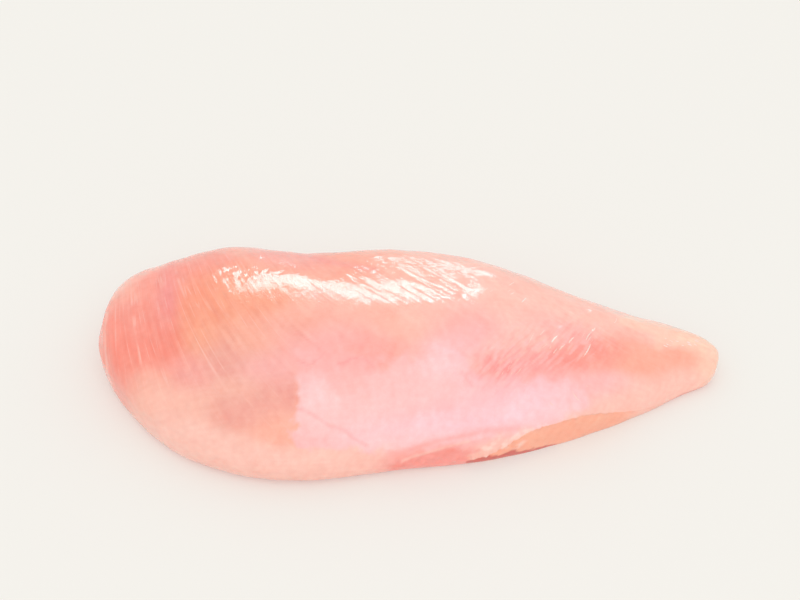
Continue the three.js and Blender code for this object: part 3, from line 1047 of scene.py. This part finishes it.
def strand(pixels, thickness, steps=22, sides=6):
    """Points of one strand: rings round a path through the pixels, each a flat ellipse whose
    radius follows the square root of a half sine, so that both ends close."""
    pixels = np.array(pixels, float)
    way = np.concatenate([[0], np.cumsum(np.hypot(*np.diff(pixels, axis=0).T))])
    fine = np.linspace(0, way[-1], steps)
    path = [np.polyval(np.polyfit(way, side, len(way) - 1), fine) for side in pixels.T]
    path = np.stack(path, -1)
    place, normal = (np.array(part) for part in zip(*[sight_line(pixel) for pixel in path]))
    forward = np.gradient(place, axis=0)
    forward /= np.linalg.norm(forward, axis=1)[:, None]
    side = np.cross(forward, normal)
    radius = thickness / 2 * MM * np.sqrt(np.sin(np.linspace(*TIPS, steps) * math.pi))
    turn = (np.arange(sides) / sides * 2 * math.pi)[:, None, None]
    ring = np.cos(turn) * side + FLATNESS * np.sin(turn) * normal
    return (place + LIFT * MM * normal + ring * radius[:, None]).transpose(1, 0, 2)


# %% All strands as one mesh
WHITER = (0.2, 0.62)
tree = BVHTree.FromObject(flesh, bpy.context.evaluated_depsgraph_get())
tubes = np.array([strand(pixels, thickness) for pixels, thickness in STRANDS])
count, steps, sides, _ = tubes.shape
number = np.arange(count * steps * sides).reshape(count, steps, sides)
after = np.roll(number, -1, axis=2)
walls = np.stack([number[:, :-1], number[:, 1:], after[:, 1:], after[:, :-1]], -1).reshape(-1, 4)
caps = np.concatenate([number[:, 0], number[:, -1, ::-1]])
strand_mesh = bpy.data.meshes.new("silverskin_strands")
strand_mesh.from_pydata(tubes.reshape(-1, 3), [], walls.tolist() + caps.tolist())
# Thick strands are whiter; the whitest stand for painted glints.
whiteness = ramp(np.array([thickness for _, thickness in STRANDS]), *WHITER)
strand_mesh.attributes.new("whiteness", "FLOAT", "POINT").data.foreach_set(
    "value", np.repeat(whiteness, steps * sides).astype(np.float32))
strands = placed("silverskin_strands", strand_mesh)
print("faces of the strands:", len(strand_mesh.polygons))


# %% Their finish
# Pinks for the thin strands, and a white for the thick ones, which are painted glints.
PINKS, WHITE_TISSUE_AND_GLINT = ((1.0, 0.48, 0.39, 1), (1.0, 0.58, 0.5, 1)), (1.0, 0.84, 0.79, 1)


def strand_material():
    """Pale tissue, moist as the flesh, whiter where a strand is thick, where the white is a
    painted glint, without scattering, which would carry the light out of so thin a ribbon into the
    flesh."""
    material, shader, make, put = new_material("silverskin_and_glints")
    pink = mixed(make, noise(make, make("TexCoord", output="Object"), 500.0, 2.0), *PINKS)
    put(shader, {
        "Base Color": mixed(make, mask_of(make, "whiteness"), pink, WHITE_TISSUE_AND_GLINT),
        "Roughness": 0.4,
        "Specular IOR Level": 0.06,
        "Coat Weight": 1.0,
        "Coat Roughness": 0.1,
        "Coat IOR": 1.36,
    })
    return material


strand_mesh.materials.append(strand_material())
print("material:", strand_mesh.materials[0].name)

# %% [markdown]
# ## Studio
# A pale floor that glows a little, an even bright surround, a broad light in front and two soft
# lights behind. The plateau mirrors the larger one, which makes the long white highlight, and the
# lower one shines on the crinkled patch beside it. Both are kept out of the matt shading, so that
# they don't whiten the flesh.


# %% Floor, surround and lights
COOL_WHITE, WHITE = (0.88, 0.94, 1.0), (1.0, 1.0, 1.0)
LIGHTS = [  # name, azimuth, elevation, distance, sides, watts, colour, matt shading
    ("back_shine", 88.5, 45.5, 2.0, (1.04, 0.36), 18.5, COOL_WHITE, False),
    ("low_back_shine", 81, 18, 2.0, (0.62, 0.4), 5.0, COOL_WHITE, False),
    ("front_fill", -85, 58, 4.0, (3.8, 2.9), 30.0, WHITE, True),
]
FLOOR_LEVEL = -0.0001
SURROUND = dict(Color=(1.0, 0.99, 0.965, 1), Strength=0.92)


def soft_box(name, azimuth, elevation, distance, size, power, colour, matt):
    """A rectangular light at a direction and distance in metres from the breast's middle,
    turned to face it. Azimuth 90 is behind the breast, along +Y."""
    a, e = math.radians(azimuth), math.radians(elevation)
    direction = np.array([math.cos(a) * math.cos(e), math.sin(a) * math.cos(e), math.sin(e)])
    data = bpy.data.lights.new(name, "AREA")
    data.shape, data.size, data.size_y, data.energy = "RECTANGLE", *size, power
    data.color = colour
    light = placed(name, data)
    light.location = direction * distance
    light.rotation_euler = (math.pi / 2 - e, 0, a + math.pi / 2)
    light.visible_camera = False
    light.visible_diffuse = matt


def floor_plane(size, colour):
    """One square face under the breast, matt and pale, that glows a little."""
    plane = bpy.data.meshes.new("floor")
    half, low = size / 2, FLOOR_LEVEL
    corners = [(-half, -half, low), (half, -half, low), (half, half, low), (-half, half, low)]
    plane.from_pydata(corners, [], [(0, 1, 2, 3)])
    material, shader, _, put = new_material("pale_floor")
    put(shader, {
        "Base Color": colour, "Roughness": 1.0, "Specular IOR Level": 0.0,
        "Emission Color": (1.0, 0.985, 0.95, 1), "Emission Strength": 0.325,
    })
    plane.materials.append(material)
    return placed("floor", plane)


floor_plane(12.0, (0.56, 0.55, 0.525, 1))
for light in LIGHTS:
    soft_box(*light)
world = bpy.data.worlds.new("bright_surround")
world.use_nodes = True
for key, value in SURROUND.items():
    world.node_tree.nodes["Background"].inputs[key].default_value = value
bpy.context.scene.world = world
bpy.context.scene.view_settings.view_transform = "Standard"
print("lights:", [name for name, *_ in LIGHTS])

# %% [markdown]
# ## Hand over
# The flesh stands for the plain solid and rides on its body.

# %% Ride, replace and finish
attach(flesh, "root")
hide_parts("chicken_breast")
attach(strands, "root")
